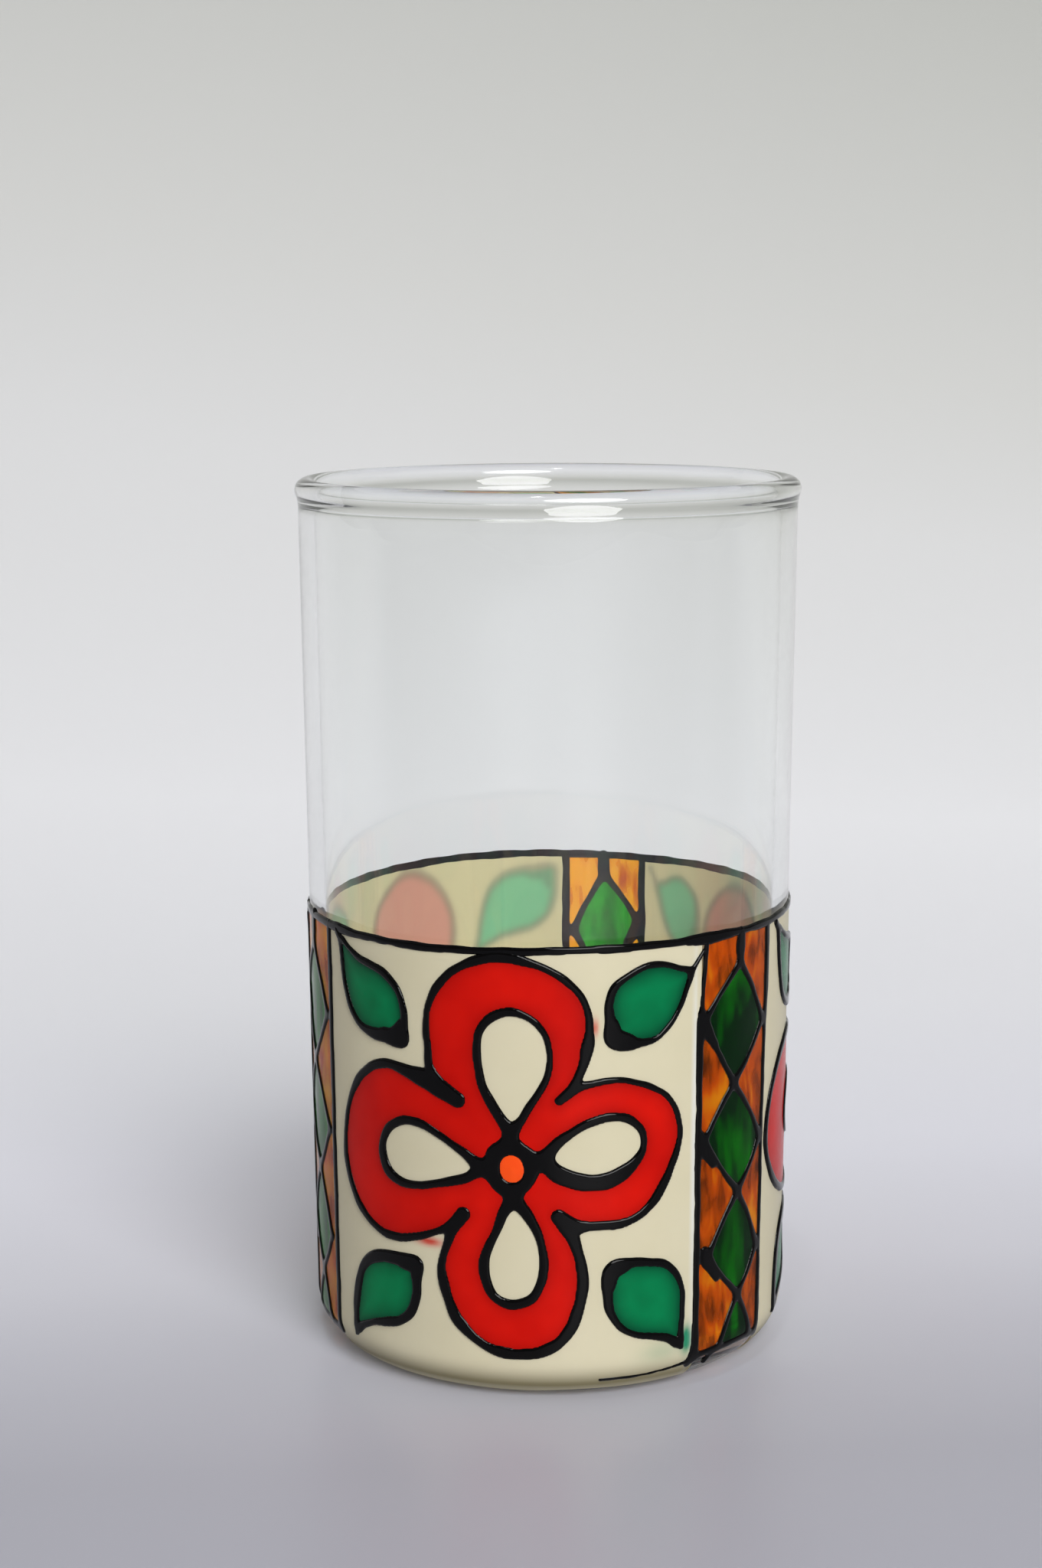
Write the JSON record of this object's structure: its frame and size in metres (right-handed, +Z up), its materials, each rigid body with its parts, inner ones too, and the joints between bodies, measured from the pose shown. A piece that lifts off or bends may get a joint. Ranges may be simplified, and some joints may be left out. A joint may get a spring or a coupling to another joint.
{
  "type": "moroccan tea glass",
  "caption": "Straight clear glass tumbler with a rounded rim, its lower half hand painted with flower panels on a cream ground and upright bands of green and amber diamonds.",
  "frame": {"origin": "middle of the foot, on the surface that the glass stands on", "axes": "+Z up along the glass's axis, -Y towards the front flower"},
  "size_m": [0.0688, 0.0688, 0.12],
  "materials": {
    "clear_glass": "clear, fire-polished",
    "black_line": "raised glossy outliner",
    "cream_paint": "thin translucent glass paint",
    "red_paint": "glossy glass paint",
    "orange_paint": "glossy glass paint",
    "leaf_green_paint": "glossy glass paint",
    "green_pane": "transparent glass paint",
    "amber_pane": "transparent glass paint"
  },
  "bodies": {
    "root": {"glass_body": "clear_glass", "border_line": "black_line", "ground_front": "cream_paint", "ground_right": "cream_paint", "ground_left": "cream_paint", "flower_line_front": "black_line", "flower_line_right": "black_line", "flower_line_left": "black_line", "flower_red_front": "red_paint", "flower_red_right": "red_paint", "flower_red_left": "red_paint", "eye_lines_front": "black_line", "eye_lines_right": "black_line", "eye_lines_left": "black_line", "flower_middle_front": "orange_paint", "flower_middle_right": "orange_paint", "flower_middle_left": "orange_paint", "leaf_lines_front": "black_line", "leaf_lines_right": "black_line", "leaf_lines_left": "black_line", "leaves_front": "leaf_green_paint", "leaves_right": "leaf_green_paint", "leaves_left": "leaf_green_paint", "band_lines_right": "black_line", "band_lines_back": "black_line", "band_lines_left": "black_line", "band_diamonds_right": "green_pane", "band_diamonds_back": "green_pane", "band_diamonds_left": "green_pane", "band_amber_right": "amber_pane", "band_amber_back": "amber_pane", "band_amber_left": "amber_pane"}
  },
  "joints": []
}
